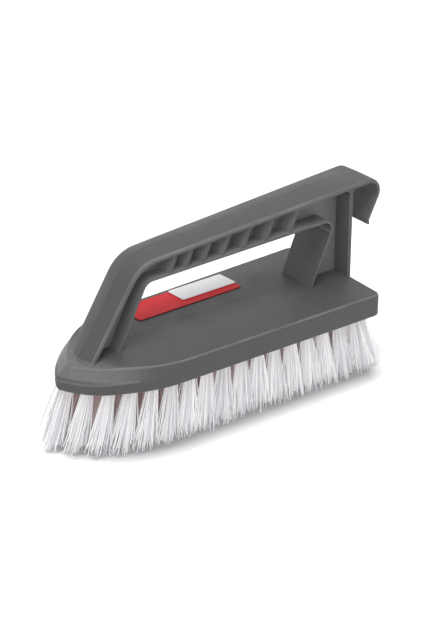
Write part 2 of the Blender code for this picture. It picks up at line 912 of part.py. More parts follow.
def build():
    clear_scene()
    parts = make_collection("laundry_brush")
    cutters = make_collection("cutters")
    draw = random.Random(seed)
    plastic = make_material("grey_plastic", (0.1, 0.1, 0.103), 0.42)
    bristle = make_material("white_bristle", (0.86, 0.85, 0.86), 0.5)
    red_paper = make_material("red_label", (0.62, 0.035, 0.04), 0.45)
    white_paper = make_material("white_sticker", (0.85, 0.85, 0.85), 0.5)

    body = make_body(parts, cutters)
    body.data.materials.append(plastic)
    papers = [
        make_paper(
            "paper_label", label_length, label_width, label_rear_x, label_near_y, paper_gap, parts, red_paper
        ),
        make_paper(
            "price_sticker", sticker_length, sticker_width, sticker_rear_x, sticker_near_y,
            2 * paper_gap + paper_thickness, parts, white_paper,
        ),
    ]
    tufts = make_outer_tufts(parts, cutters, bristle, draw)
    tufts += make_inner_rows(parts, cutters, bristle, draw)
    pieces = [body] + papers + [tuft for tuft, _ in tufts]
    shade(pieces)

    gap, count = least_strand_gap(tufts)
    print(f"{count} strands, least gap between two of them {gap / MM:.2f} mm")

    rear, front = extent_along_x(pieces)
    frame = bpy.data.objects.new("brush_frame", None)
    parts.objects.link(frame)
    frame.location = (-(rear + front) / 2, 0, block_thickness + bristle_length)
    for item in pieces + list(cutters.objects):
        item.parent = frame


build()
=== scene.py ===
"""Laundry brush with a grey moulded body, an arched grip with a hanging hook and white bristle tufts."""

import math

import bmesh
import bpy
from mathutils import Matrix, Vector
from mathutils.bvhtree import BVHTree


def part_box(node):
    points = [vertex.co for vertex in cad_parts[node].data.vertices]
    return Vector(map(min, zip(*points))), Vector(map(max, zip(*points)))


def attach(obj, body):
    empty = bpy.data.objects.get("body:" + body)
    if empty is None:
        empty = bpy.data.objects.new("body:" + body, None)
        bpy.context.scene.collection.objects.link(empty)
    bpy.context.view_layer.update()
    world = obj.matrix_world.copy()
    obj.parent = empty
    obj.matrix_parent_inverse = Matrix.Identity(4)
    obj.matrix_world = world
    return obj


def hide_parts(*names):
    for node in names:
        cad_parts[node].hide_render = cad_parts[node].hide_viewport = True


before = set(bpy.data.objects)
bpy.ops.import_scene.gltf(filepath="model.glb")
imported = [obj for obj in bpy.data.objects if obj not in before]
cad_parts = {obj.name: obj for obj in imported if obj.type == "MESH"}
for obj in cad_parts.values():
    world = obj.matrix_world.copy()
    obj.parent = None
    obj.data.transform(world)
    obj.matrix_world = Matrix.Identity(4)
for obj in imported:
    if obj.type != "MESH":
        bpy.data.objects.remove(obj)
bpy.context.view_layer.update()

MM = 0.001

# Places of sockets that share their names: a colour mix's, a random vector's and a random number's
mix_share, mix_one, mix_two, mix_result = 0, 6, 7, 2
vector_low, vector_high, vector_result = 0, 1, 0
number_low, number_high, number_result = 2, 3, 1

# Camera, from the photograph's perspective; its place is measured from the floor under the nose's tip
camera_azimuth = math.radians(-37.355)
camera_elevation = math.radians(26.887)
camera_from_nose = Vector((-301.674, -493.433, 349.098)) * MM
sensor_size = 36.0
focal_pixels = 1700.0
frame_height_pixels = 631.0
nearest_view = 0.01
farthest_view = 20.0

# Body: the merged copy of its solid, its rounded edges and its creases
merge_distance = 0.001 * MM
flat_angle = math.radians(0.6)
body_edge_radius = 0.45 * MM
body_edge_segments = 2
body_edge_angle = math.radians(28)
even_profile = 0.5
crease_angle = math.radians(12)
smooth_angle = math.radians(40)
crease_width = 2.0 * MM

# Room around the tufts' holes and the rows' slots, where no edge is rounded
underside_height = 26.0 * MM
hole_room = 5.3 * MM
hole_reach = 2.9 * MM
slot_room = 2.0 * MM
slot_reach = 1.9 * MM

# Where the web's sides, the handle's recesses and the upward faces are found
block_top_height = 37.5 * MM
web_reach = 3.0 * MM
recess_reach = 9.5 * MM
recess_room = 20.0 * MM
sight_start = 0.05 * MM
sideways_least = 0.9
upward_least = 0.8

# Grain that the plastic and the papers share
grain_detail = 3.0
grain_roughness = 0.6
mottle_detail = 4.0
mottle_roughness = 0.55
speck_start = 0.52
speck_full = 0.72
mottle_low = 0.3
mottle_high = 0.7

# Grey plastic
plastic_greys = ((0.073, 0.0735, 0.0735, 1), (0.084, 0.0845, 0.0845, 1))
plastic_grain_size = 0.45 * MM
plastic_mottle_size = 18.0 * MM
plastic_roughness = (0.42, 0.58)
plastic_shine = 0.4
plastic_relief = 0.35
plastic_relief_depth = 0.03 * MM

# Painted fill light: the web's sides and the recesses in a lighter grey, against the shade they lie in;
# the recesses are less so before the ribs and past them
recess_fill_light_grey = (0.25, 0.251, 0.251, 1)
web_share = 0.9
leg_top = -50.0 * MM
ribs_start = -26.0 * MM
ribs_end = 36.0 * MM
post_start = 48.0 * MM
off_ribs_loss = 0.55

# Paler, specked band round the nose, between its crease and the top's edge, and specks all over
pale_nose_grey = (0.16, 0.16, 0.16, 1)
pale_nose_share = 0.7
pale_nose_start = -66.0 * MM
pale_nose_end = -44.0 * MM
top_edge_height = 35.6 * MM
nose_top_height = 36.6 * MM
nose_crease_height = 30.2 * MM
above_crease_height = 31.0 * MM
speck_grey = (0.24, 0.24, 0.24, 1)
speck_share = 0.8
stray_speck_share = 0.15

# Painted highlight on the rounded edges, paler in patches, and the mould's parting line
painted_edge_grey = (0.19, 0.19, 0.19, 1)
painted_edge_shares = (0.25, 0.8)
seam_grey = (0.045, 0.045, 0.045, 1)
seam_share = 0.6
seam_half_width = 0.2 * MM
seam_edge = 0.42 * MM
seam_full_height = 36.4 * MM
seam_relief = 3.0

# Label and sticker paper
label_reds = ((0.66, 0.014, 0.022, 1), (0.72, 0.02, 0.03, 1))
label_fibre = (0.76, 0.1, 0.11, 1)
sticker_whites = ((0.87, 0.87, 0.89, 1), (0.91, 0.91, 0.93, 1))
sticker_fibre = (0.8, 0.8, 0.82, 1)
fibre_share = 0.25
paper_grain_size = 0.3 * MM
paper_mottle_size = 6.0 * MM
paper_roughness = (0.44, 0.56)
paper_shine = 0.2
paper_relief = 0.2
paper_relief_depth = 0.02 * MM

# White filaments, from root to cut tip; a full, end or start is a share of the filament's length
strand_whites = ((0.55, 0.55, 0.58, 1), (0.97, 0.97, 0.97, 1))
strand_shade_power = 0.6
# Painted warm shade at the roots, stronger on the inner rows
root_shade_tint = (0.78, 0.6, 0.56, 1)
root_shade_full = 0.05
root_shade_end = 0.6
root_shade_share = 0.12
inner_root_shade_share = 0.8
# Painted shade on the inner rows, darker and browner up to near their tips
inner_shade_tint = (0.62, 0.46, 0.44, 1)
inner_shade_full = 0.7
inner_shade_end = 0.95
inner_shade_share = 0.8
cut_tip_grey = (0.7, 0.7, 0.71, 1)
cut_tip_start = 0.93
cut_tip_share = 0.25
# Painted light: an emission glow on the filaments, as if light came through them
painted_glow = 0.2
inner_glow_loss = 0.7
streaks_per_metre = (4000.0, 4000.0, 400.0)
streak_detail = 2.0
filament_roughness = (0.3, 0.55)
filament_relief = 0.25
filament_relief_depth = 0.02 * MM

# Tufts, read from their solids
row_places = (-1.5, -0.5, 0.5, 1.5)
row_pitch = 9.8 * MM
root_band = 0.2 * MM
tip_band = 0.3 * MM
root_depth = 5.0 * MM

# Filaments of a tuft
tuft_radius = 2.0 * MM
fan_radius = 5.8 * MM
filament_radius = 0.23 * MM
filament_points = 5
filament_sides = 4
hidden_root = 2.0 * MM
tip_unevenness = 4.0 * MM
waviness = 0.7 * MM
outer_filaments = 66
inner_filaments = 74
outer_seed = 11
inner_seed = 31

# How the filaments of a tuft differ
golden_turn = 2.39996
full_turn = 6.28
fan_squeeze = (1.0, 0.72, 1.0)
stray_shares = (0.55, 1.3)
unevenness_power = 1.6
outward_power = 1.05
thickness_shares = (0.8, 1.15)
slim_start = 0.75
slim_share = 0.35

# Inputs of the bristle tree: label, kind of socket and the outer ring's value
tuft_inputs = (
    ("Filaments", "NodeSocketInt", outer_filaments),
    ("Tuft Radius", "NodeSocketFloat", tuft_radius),
    ("Fan Radius", "NodeSocketFloat", fan_radius),
    ("Filament Radius", "NodeSocketFloat", filament_radius),
    ("Length", "NodeSocketFloat", underside_height),
    ("Hidden Root", "NodeSocketFloat", hidden_root),
    ("Unevenness", "NodeSocketFloat", tip_unevenness),
    ("Waviness", "NodeSocketFloat", waviness),
    ("Inner", "NodeSocketFloat", 0.0),
    ("Points", "NodeSocketInt", filament_points),
    ("Sides", "NodeSocketInt", filament_sides),
    ("Seed", "NodeSocketInt", outer_seed),
)

# Floor: its colour as a bounce and as seen, and its lift to white away from the brush
floor_half = 4.0
floor_height = -0.2 * MM
floor_bounce = (0.44, 0.44, 0.45, 1)
floor_seen = (0.64, 0.635, 0.65, 1)
near_lift = 0.02
far_lift = 0.7
lift_start = 0.15
lift_full = 0.5

# Light: the room's strength, then each lamp's name, place, size, power and link to the floor
white = (1, 1, 1, 1)
black = (0, 0, 0, 1)
room_strength = 0.54
lamps = (
    ("window_above", (-0.15, -0.3, 1.5), 0.9, 13.0, "EXCLUDE"),
    ("window_front", (-0.85, -1.15, 0.85), 1.2, 3.5, "EXCLUDE"),
    ("floor_window", (0.1, 0.2, 1.5), 0.55, 36.0, "INCLUDE"),
)


def new_material(name):
    """A material with an empty tree, its output and its Principled shader."""
    material = bpy.data.materials.new(name)
    material.use_nodes = True
    tree = material.node_tree
    tree.nodes.clear()
    output = tree.nodes.new("ShaderNodeOutputMaterial")
    shader = tree.nodes.new("ShaderNodeBsdfPrincipled")
    tree.links.new(shader.outputs["BSDF"], output.inputs["Surface"])
    return material, tree, shader


def add(tree, kind, inputs=None, **settings):
    """A node with its settings, its inputs set to values or linked to other nodes' sockets."""
    node = tree.nodes.new(kind)
    for key, value in settings.items():
        setattr(node, key, value)
    for key, value in (inputs or {}).items():
        if isinstance(value, bpy.types.NodeSocket):
            tree.links.new(value, node.inputs[key])
        else:
            node.inputs[key].default_value = value
    return node


def calc(tree, operation, *values, clamp=False):
    """The result of a Math node."""
    inputs = dict(enumerate(values))
    return add(tree, "ShaderNodeMath", inputs, operation=operation, use_clamp=clamp).outputs[0]


def vector_calc(tree, operation, *values, output=0):
    """The result of a Vector Math node; a scale goes into its own socket."""
    inputs = dict(enumerate(values))
    if operation == "SCALE":
        inputs = {0: values[0], "Scale": values[1]}
    return add(tree, "ShaderNodeVectorMath", inputs, operation=operation).outputs[output]


def times(tree, *values):
    """The product of two or more values."""
    product = values[0]
    for value in values[1:]:
        product = calc(tree, "MULTIPLY", product, value)
    return product


def rest_of(tree, share):
    """What a share leaves of the whole."""
    return calc(tree, "SUBTRACT", 1.0, share)


def ramp(tree, value, low, high):
    """0 below low and 1 above high, with a soft passage between."""
    inputs = {"Value": value, "From Min": low, "From Max": high, "To Min": 0.0, "To Max": 1.0}
    return add(tree, "ShaderNodeMapRange", inputs, interpolation_type="SMOOTHSTEP").outputs["Result"]


def spread(tree, value, low, high, least, most):
    """A value between low and high, stretched to lie between least and most."""
    inputs = {"Value": value, "From Min": low, "From Max": high, "To Min": least, "To Max": most}
    return add(tree, "ShaderNodeMapRange", inputs).outputs["Result"]


def mix_colour(tree, share, one, two):
    """One colour blended into another by a share."""
    inputs = {mix_share: share, mix_one: one, mix_two: two}
    return add(tree, "ShaderNodeMix", inputs, data_type="RGBA").outputs[mix_result]


def mask(tree, name):
    """A mask that the piece's mesh carries."""
    return add(tree, "ShaderNodeAttribute", attribute_name=name).outputs["Fac"]


def object_place(tree):
    """The Object coordinates' socket."""
    return tree.nodes.new("ShaderNodeTexCoord").outputs["Object"]


def finish_surface(tree, shader, colour, roughness, height, relief, relief_depth):
    """Gives the shader its colour, its roughness and its fine relief."""
    bump = add(tree, "ShaderNodeBump", {"Strength": relief, "Distance": relief_depth, "Height": height})
    tree.links.new(colour, shader.inputs["Base Color"])
    tree.links.new(roughness, shader.inputs["Roughness"])
    tree.links.new(bump.outputs["Normal"], shader.inputs["Normal"])


def make_grain_group():
    """Fine grain and slow mottling of a surface: a height, two masks and a roughness."""
    tree = bpy.data.node_groups.new("surface_grain", "ShaderNodeTree")
    tree.interface.new_socket("Vector", in_out="INPUT", socket_type="NodeSocketVector")
    for label, value in (
        ("Grain Size", plastic_grain_size),
        ("Mottle Size", plastic_mottle_size),
        ("Roughness Low", plastic_roughness[0]),
        ("Roughness High", plastic_roughness[1]),
    ):
        socket = tree.interface.new_socket(label, in_out="INPUT", socket_type="NodeSocketFloat")
        socket.default_value = value
    for label in ("Height", "Speckle", "Mottle", "Roughness"):
        tree.interface.new_socket(label, in_out="OUTPUT", socket_type="NodeSocketFloat")
    given = tree.nodes.new("NodeGroupInput").outputs
    result = tree.nodes.new("NodeGroupOutput")

    def noise(size, detail, roughness):
        scale = calc(tree, "DIVIDE", 1.0, given[size])
        inputs = {"Vector": given["Vector"], "Scale": scale, "Detail": detail, "Roughness": roughness}
        return add(tree, "ShaderNodeTexNoise", inputs).outputs["Fac"]

    grain = noise("Grain Size", grain_detail, grain_roughness)
    mottle = noise("Mottle Size", mottle_detail, mottle_roughness)
    smoothest, roughest = given["Roughness Low"], given["Roughness High"]
    for label, socket in (
        ("Height", grain),
        ("Speckle", ramp(tree, grain, speck_start, speck_full)),
        ("Mottle", mottle),
        ("Roughness", spread(tree, mottle, mottle_low, mottle_high, smoothest, roughest)),
    ):
        tree.links.new(socket, result.inputs[label])
    return tree


def place_grain(tree, group, place, grain_size, mottle_size, roughness):
    """The grain group's outputs, placed in a material with its own values."""
    node = tree.nodes.new("ShaderNodeGroup")
    node.node_tree = group
    tree.links.new(place, node.inputs["Vector"])
    for label, value in (
        ("Grain Size", grain_size),
        ("Mottle Size", mottle_size),
        ("Roughness Low", roughness[0]),
        ("Roughness High", roughness[1]),
    ):
        node.inputs[label].default_value = value
    return node.outputs


def paint_light_into_recesses(tree, colour, axes):
    """Painted fill light: the web's sides and the recesses in a lighter grey against their shade, the
    recesses less so off the ribs.
    """
    colour = mix_colour(tree, times(tree, mask(tree, "web_side"), web_share), colour, recess_fill_light_grey)
    before_ribs = rest_of(tree, ramp(tree, axes["X"], leg_top, ribs_start))
    past_ribs = ramp(tree, axes["X"], ribs_end, post_start)
    off_ribs = calc(tree, "ADD", before_ribs, past_ribs)
    painted_fill_share = rest_of(tree, times(tree, off_ribs, off_ribs_loss))
    return mix_colour(tree, times(tree, mask(tree, "recess"), painted_fill_share), colour, recess_fill_light_grey)


def pale_nose_band(tree, colour, axes, speckle):
    """A paler, specked band round the nose, and faint specks all over."""
    at_nose = rest_of(tree, ramp(tree, axes["X"], pale_nose_start, pale_nose_end))
    below_top = rest_of(tree, ramp(tree, axes["Z"], top_edge_height, nose_top_height))
    above_crease = ramp(tree, axes["Z"], nose_crease_height, above_crease_height)
    nose = times(tree, at_nose, below_top, above_crease)
    colour = mix_colour(tree, times(tree, nose, pale_nose_share), colour, pale_nose_grey)
    nose_specks = times(tree, nose, speckle)
    stray_specks = times(tree, speckle, stray_speck_share)
    specks = calc(tree, "ADD", stray_specks, nose_specks, clamp=True)
    return mix_colour(tree, times(tree, specks, speck_share), colour, speck_grey)


def paint_edge_highlights(tree, colour, mottle):
    """Painted highlight: the rounded edges made paler in patches."""
    painted_edge_share = spread(tree, mottle, mottle_low, mottle_high, *painted_edge_shares)
    return mix_colour(tree, times(tree, mask(tree, "painted_edge_highlight"), painted_edge_share), colour, painted_edge_grey)


def parting_line(tree, axes):
    """A mask of the mould's parting line, along the middle of the upward faces."""
    off_middle = calc(tree, "ABSOLUTE", axes["Y"])
    seam_line = rest_of(tree, ramp(tree, off_middle, seam_half_width, seam_edge))
    above_edge = ramp(tree, axes["Z"], top_edge_height, seam_full_height)
    return times(tree, seam_line, times(tree, mask(tree, "upward"), above_edge))


def grey_plastic(grain_group):
    """Dark grey moulded plastic with painted fill light in the recesses, a paler specked nose band,
    painted highlights on the rounded edges and a parting line.
    """
    material, tree, shader = new_material("grey_moulded_plastic")
    place = object_place(tree)
    grain = place_grain(
        tree, grain_group, place, plastic_grain_size, plastic_mottle_size, plastic_roughness
    )
    axes = add(tree, "ShaderNodeSeparateXYZ", {0: place}).outputs
    colour = mix_colour(tree, grain["Mottle"], *plastic_greys)
    # Painted fill light in the web's sides and the recesses
    colour = paint_light_into_recesses(tree, colour, axes)
    colour = pale_nose_band(tree, colour, axes, grain["Speckle"])
    # Painted highlight on the rounded edges
    colour = paint_edge_highlights(tree, colour, grain["Mottle"])
    seam = parting_line(tree, axes)
    colour = mix_colour(tree, times(tree, seam, seam_share), colour, seam_grey)
    height = calc(tree, "ADD", grain["Height"], times(tree, seam, seam_relief))
    finish_surface(
        tree, shader, colour, grain["Roughness"], height, plastic_relief, plastic_relief_depth
    )
    shader.inputs["Specular IOR Level"].default_value = plastic_shine
    return material


def white_bristle():
    """Drawn white filament: each strand its own tone, with painted pinkish shade at the root, painted
    shade on the inner rows, a duller cut tip and a painted glow.
    """
    material, tree, shader = new_material("white_drawn_filament")
    along, shade, inner = (mask(tree, name) for name in ("along", "shade", "inner"))
    colour = mix_colour(tree, calc(tree, "POWER", shade, strand_shade_power), *strand_whites)

    # Painted warm shade from root to tip: pinkish at the roots and more so on the inner rows, the inner
    # rows darker and browner up to near their tips; then a duller cut tip
    near_root = rest_of(tree, ramp(tree, along, root_shade_full, root_shade_end))
    root_shade_amount = calc(tree, "ADD", times(tree, inner, inner_root_shade_share), root_shade_share)
    colour = mix_colour(tree, times(tree, near_root, root_shade_amount), colour, root_shade_tint)
    before_tip = rest_of(tree, ramp(tree, along, inner_shade_full, inner_shade_end))
    colour = mix_colour(tree, times(tree, inner, before_tip, inner_shade_share), colour, inner_shade_tint)
    near_tip = ramp(tree, along, cut_tip_start, 1.0)
    colour = mix_colour(tree, times(tree, near_tip, cut_tip_share), colour, cut_tip_grey)

    # Painted light: the filaments glow by emission as if light came through them, less of it inside
    glow = times(tree, rest_of(tree, times(tree, inner, inner_glow_loss)), painted_glow)
    tree.links.new(mix_colour(tree, glow, black, colour), shader.inputs["Emission Color"])
    shader.inputs["Emission Strength"].default_value = 1.0

    # Streaks along the strand
    streak_place = vector_calc(tree, "MULTIPLY", object_place(tree), streaks_per_metre)
    inputs = {"Vector": streak_place, "Scale": 1.0, "Detail": streak_detail}
    streak = add(tree, "ShaderNodeTexNoise", inputs).outputs["Fac"]
    roughness = spread(tree, streak, 0.0, 1.0, *filament_roughness)
    finish_surface(tree, shader, colour, roughness, streak, filament_relief, filament_relief_depth)
    return material


def paper(name, grain_group, shades, fibre):
    """Printed label paper with faint fibre and an uneven coat of ink."""
    material, tree, shader = new_material(name)
    place = object_place(tree)
    grain = place_grain(tree, grain_group, place, paper_grain_size, paper_mottle_size, paper_roughness)
    ink = mix_colour(tree, grain["Mottle"], *shades)
    flecked = mix_colour(tree, times(tree, grain["Speckle"], fibre_share), ink, fibre)
    finish_surface(
        tree, shader, flecked, grain["Roughness"], grain["Height"], paper_relief, paper_relief_depth
    )
    shader.inputs["Specular IOR Level"].default_value = paper_shine
    return material


def dress(item, material):
    """Gives a piece its material."""
    item.data.materials.clear()
    item.data.materials.append(material)


def link_new(name, data):
    """A new object in the scene."""
    item = bpy.data.objects.new(name, data)
    bpy.context.scene.collection.objects.link(item)
    return item


def merged_copy(node):
    """A CAD node's mesh with its corners joined and its flat faces made whole."""
    form = bmesh.new()
    form.from_mesh(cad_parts[node].data)
    bmesh.ops.remove_doubles(form, verts=form.verts, dist=merge_distance)
    bmesh.ops.dissolve_degenerate(form, dist=merge_distance, edges=form.edges)
    bmesh.ops.dissolve_limit(
        form, angle_limit=flat_angle, use_dissolve_boundaries=False, verts=form.verts, edges=form.edges
    )
    return form


def in_a_hole(point, outer, inner):
    """Whether a point of the body lies in a tuft's hole or in a row's slot of the underside."""
    flat = point.to_2d()
    if point.z < underside_height + hole_room:
        if any((flat - root.to_2d()).length < hole_reach for root, _ in outer + inner):
            return True
    if point.z < underside_height + slot_room:
        return any(
            abs(flat.x - root.x) < slot_reach and abs(flat.y) < abs(root.y) + hole_reach
            for root, _ in inner
        )
    return False


def round_edges(form, outer, inner):
    """Rounds the body's outward edges and returns the new faces."""
    chosen = []
    for edge in form.edges:
        if edge.is_manifold and edge.is_convex and edge.calc_face_angle(0) > body_edge_angle:
            if not in_a_hole((edge.verts[0].co + edge.verts[1].co) / 2, outer, inner):
                chosen.append(edge)
    return bmesh.ops.bevel(
        form,
        geom=chosen,
        offset=body_edge_radius,
        offset_type="OFFSET",
        segments=body_edge_segments,
        profile=even_profile,
        affect="EDGES",
        clamp_overlap=False,
    )["faces"]


def keep_creases(form):
    """Leaves an edge sharp where it turns far, or where two wide faces meet in a crease."""
    for edge in form.edges:
        angle = edge.calc_face_angle(0)
        wide = all(face.calc_area() > crease_width * edge.calc_length() for face in edge.link_faces)
        edge.smooth = not (angle > smooth_angle or (angle > crease_angle and wide))


def mark_faces(form, rounded):
    """Marks the rounded edges for their painted highlight, the web sides and the faces that look across a
    recess for painted fill light, and upward faces.
    """
    names = ("painted_edge_highlight", "web_side", "recess", "upward")
    edge_shine, web, recess, upward = [form.loops.layers.float.new(name) for name in names]

    def mark(face, layer):
        for corner in face.loops:
            corner[layer] = 1.0

    for face in rounded:
        mark(face, edge_shine)
    sight = BVHTree.FromBMesh(form)
    for face in form.faces:
        middle, normal = face.calc_center_median(), face.normal
        if normal.z > upward_least:
            mark(face, upward)
        if middle.z < block_top_height:
            continue
        if abs(normal.y) > sideways_least:
            if abs(middle.y) < web_reach:
                mark(face, web)
        elif abs(middle.y) < recess_reach:
            if sight.ray_cast(middle + normal * sight_start, normal, recess_room)[0] is not None:
                mark(face, recess)


def make_body(material, outer, inner):
    """The moulded body, its edges rounded as a mould leaves them."""
    form = merged_copy("brush_body")
    rounded = round_edges(form, outer, inner)
    keep_creases(form)
    mark_faces(form, rounded)
    mesh = bpy.data.meshes.new("moulded_body")
    form.to_mesh(mesh)
    form.free()
    for polygon in mesh.polygons:
        polygon.use_smooth = True
    item = link_new("moulded_body", mesh)
    even = item.modifiers.new("even shading", "WEIGHTED_NORMAL")
    even.keep_sharp = True
    dress(item, material)
    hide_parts("brush_body")
    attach(item, "root")


def tuft_place(points):
    """The middle of a tuft's root on the underside and the way its tips lean, from its solid's corners."""
    top = max(p.z for p in points)
    roots = [p for p in points if p.z > top - root_band]
    tips = [p for p in points if p.z < tip_band]
    root = sum(roots, Vector()) / len(roots)
    tip = sum(tips, Vector()) / len(tips)
    return Vector((root.x, root.y, underside_height)), Vector((tip.x - root.x, tip.y - root.y, 0))


def tuft_places():
    """Every tuft of the outer ring, then every tuft of the inner rows, each with its lean."""
    outer, inner = [], []
    for name, node in sorted(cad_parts.items()):
        points = [v.co.copy() for v in node.data.vertices]
        if name.startswith("outer_tuft"):
            outer.append(tuft_place(points))
        if name.startswith("inner_tuft_row"):
            for share in row_places:
                own = [p for p in points if abs(p.y - share * row_pitch) < row_pitch / 2]
                if own and min(p.z for p in own) < tip_band:
                    inner.append(tuft_place([p for p in own if p.z < underside_height + root_depth]))
    return outer, inner


def vector(tree, **axes):
    """A vector made from its axes."""
    return add(tree, "ShaderNodeCombineXYZ", axes).outputs[0]


def total(tree, *vectors):
    """The sum of two or more vectors."""
    whole = vectors[0]
    for part in vectors[1:]:
        whole = vector_calc(tree, "ADD", whole, part)
    return whole


def scaled(tree, way, size):
    """A vector stretched by a size."""
    return vector_calc(tree, "SCALE", way, size)


def store(tree, geometry, name, value, kind="FLOAT"):
    """The geometry with a named value on each of its points."""
    inputs = {"Geometry": geometry, "Name": name, "Value": value}
    node = add(tree, "GeometryNodeStoreNamedAttribute", inputs, data_type=kind, domain="POINT")
    return node.outputs["Geometry"]


def read(tree, name, kind="FLOAT_VECTOR"):
    """A named value that the geometry carries."""
    node = add(tree, "GeometryNodeInputNamedAttribute", {"Name": name}, data_type=kind)
    return node.outputs["Attribute"]


def chance(tree, seed, draw, low, high, by=None):
    """A random number for each point, or for each value of by; every draw has its own number."""
    inputs = {number_low: low, number_high: high, "Seed": calc(tree, "ADD", seed, draw)}
    if by is not None:
        inputs["ID"] = by
    return add(tree, "FunctionNodeRandomValue", inputs, data_type="FLOAT").outputs[number_result]


def sideways_chance(tree, seed, draw):
    """A random level vector for each point."""
    inputs = {vector_low: (-1, -1, 0), vector_high: (1, 1, 0), "Seed": calc(tree, "ADD", seed, draw)}
    node = add(tree, "FunctionNodeRandomValue", inputs, data_type="FLOAT_VECTOR")
    return node.outputs[vector_result]


def bristle_sockets(tree):
    """The bristle tree's inputs and output; returns the identifiers of the inputs to be set."""
    tree.interface.new_socket("Geometry", in_out="INPUT", socket_type="NodeSocketGeometry")
    identifiers = {}
    for label, kind, value in tuft_inputs:
        socket = tree.interface.new_socket(label, in_out="INPUT", socket_type=kind)
        socket.default_value = value
        identifiers[label] = socket.identifier
    socket = tree.interface.new_socket("Material", in_out="INPUT", socket_type="NodeSocketMaterial")
    identifiers["Material"] = socket.identifier
    tree.interface.new_socket("Geometry", in_out="OUTPUT", socket_type="NodeSocketGeometry")
    return identifiers


def plant_filaments(tree, given):
    """A point for each filament of a tuft, set out as a sunflower's seeds are, with its root and tip."""
    seed = given["Seed"]
    index = add(tree, "GeometryNodeInputIndex").outputs[0]
    numbered = store(tree, given["Geometry"], "tuft", index, "INT")
    amount = {"Geometry": numbered, "Amount": given["Filaments"]}
    copies = add(tree, "GeometryNodeDuplicateElements", amount, domain="POINT").outputs
    order = copies["Duplicate Index"]
    tuft_turn = chance(tree, seed, 1, 0.0, full_turn, by=read(tree, "tuft", "INT"))
    turn = calc(tree, "ADD", times(tree, order, golden_turn), tuft_turn)
    filled = calc(tree, "DIVIDE", calc(tree, "ADD", order, 0.5), given["Filaments"])
    share = calc(tree, "SQRT", filled)
    heading = vector(tree, X=calc(tree, "COSINE", turn), Y=calc(tree, "SINE", turn))
    place = add(tree, "GeometryNodeInputPosition").outputs[0]

    root_flat = scaled(tree, heading, times(tree, share, given["Tuft Radius"]))
    root = total(tree, place, root_flat, vector(tree, Z=given["Hidden Root"]))
    strayed = times(tree, share, given["Fan Radius"], chance(tree, seed, 2, *stray_shares))
    tip_flat = scaled(tree, vector_calc(tree, "MULTIPLY", heading, fan_squeeze), strayed)
    unevenness = calc(tree, "POWER", chance(tree, seed, 3, 0.0, 1.0), unevenness_power)
    cut_short = times(tree, unevenness, given["Unevenness"])
    tip_fall = vector(tree, Z=calc(tree, "SUBTRACT", cut_short, given["Length"]))
    wander = scaled(tree, sideways_chance(tree, seed, 4), given["Waviness"])
    tip = total(tree, place, read(tree, "lean"), tip_flat, total(tree, tip_fall, wander))
    bow = scaled(tree, sideways_chance(tree, seed, 5), given["Waviness"])

    points = copies["Geometry"]
    for name, value in (("root", root), ("tip", tip), ("bow", bow)):
        points = store(tree, points, name, value, "FLOAT_VECTOR")
    points = store(tree, points, "shade", chance(tree, seed, 6, 0.0, 1.0))
    return store(tree, points, "thick", chance(tree, seed, 7, *thickness_shares))


def draw_strands(tree, given, points):
    """A line on each root, bowed and led to its own tip."""
    line = add(tree, "GeometryNodeCurvePrimitiveLine", {"Start": (0, 0, 0), "End": (0, 0, 1)})
    divided = {"Curve": line.outputs["Curve"], "Count": given["Points"]}
    line = add(tree, "GeometryNodeResampleCurve", divided).outputs["Curve"]
    placed = add(tree, "GeometryNodeInstanceOnPoints", {"Points": points, "Instance": line})
    straight = add(tree, "GeometryNodeRealizeInstances", {"Geometry": placed.outputs["Instances"]})
    along = add(tree, "GeometryNodeSplineParameter").outputs["Factor"]
    outward = calc(tree, "POWER", along, outward_power)
    span = vector_calc(tree, "SUBTRACT", read(tree, "tip"), read(tree, "root"))
    reached = vector_calc(tree, "MULTIPLY", span, vector(tree, X=outward, Y=outward, Z=along))
    bowed = scaled(tree, read(tree, "bow"), calc(tree, "SINE", times(tree, along, math.pi)))
    path = total(tree, read(tree, "root"), reached, bowed)
    moved = {"Geometry": straight.outputs["Geometry"], "Position": path}
    strands = add(tree, "GeometryNodeSetPosition", moved).outputs["Geometry"]
    strands = store(tree, strands, "along", along)
    return store(tree, strands, "inner", given["Inner"])


def round_strands(tree, given, strands):
    """Each filament's round body, slimmer towards the tip."""
    along = add(tree, "GeometryNodeSplineParameter").outputs["Factor"]
    slim = rest_of(tree, times(tree, ramp(tree, along, slim_start, 1.0), slim_share))
    radius = times(tree, given["Filament Radius"], read(tree, "thick", "FLOAT"), slim)
    ring = add(tree, "GeometryNodeCurvePrimitiveCircle", {"Resolution": given["Sides"], "Radius": 1.0})
    sweep = {"Curve": strands, "Profile Curve": ring.outputs["Curve"], "Scale": radius, "Fill Caps": True}
    return add(tree, "GeometryNodeCurveToMesh", sweep).outputs["Mesh"]


def make_bristle_tree():
    """Tufts of filaments: each starts in its hole and fans out to an uneven cut tip."""
    tree = bpy.data.node_groups.new("bristle_tufts", "GeometryNodeTree")
    identifiers = bristle_sockets(tree)
    given = tree.nodes.new("NodeGroupInput").outputs
    strands = draw_strands(tree, given, plant_filaments(tree, given))
    solid = round_strands(tree, given, strands)
    whole = add(tree, "GeometryNodeRealizeInstances", {"Geometry": solid}).outputs["Geometry"]
    smooth = add(tree, "GeometryNodeSetShadeSmooth", {"Geometry": whole}).outputs["Geometry"]
    finished = add(tree, "GeometryNodeSetMaterial", {"Geometry": smooth, "Material": given["Material"]})
    result = tree.nodes.new("NodeGroupOutput")
    tree.links.new(finished.outputs["Geometry"], result.inputs["Geometry"])
    return tree, identifiers


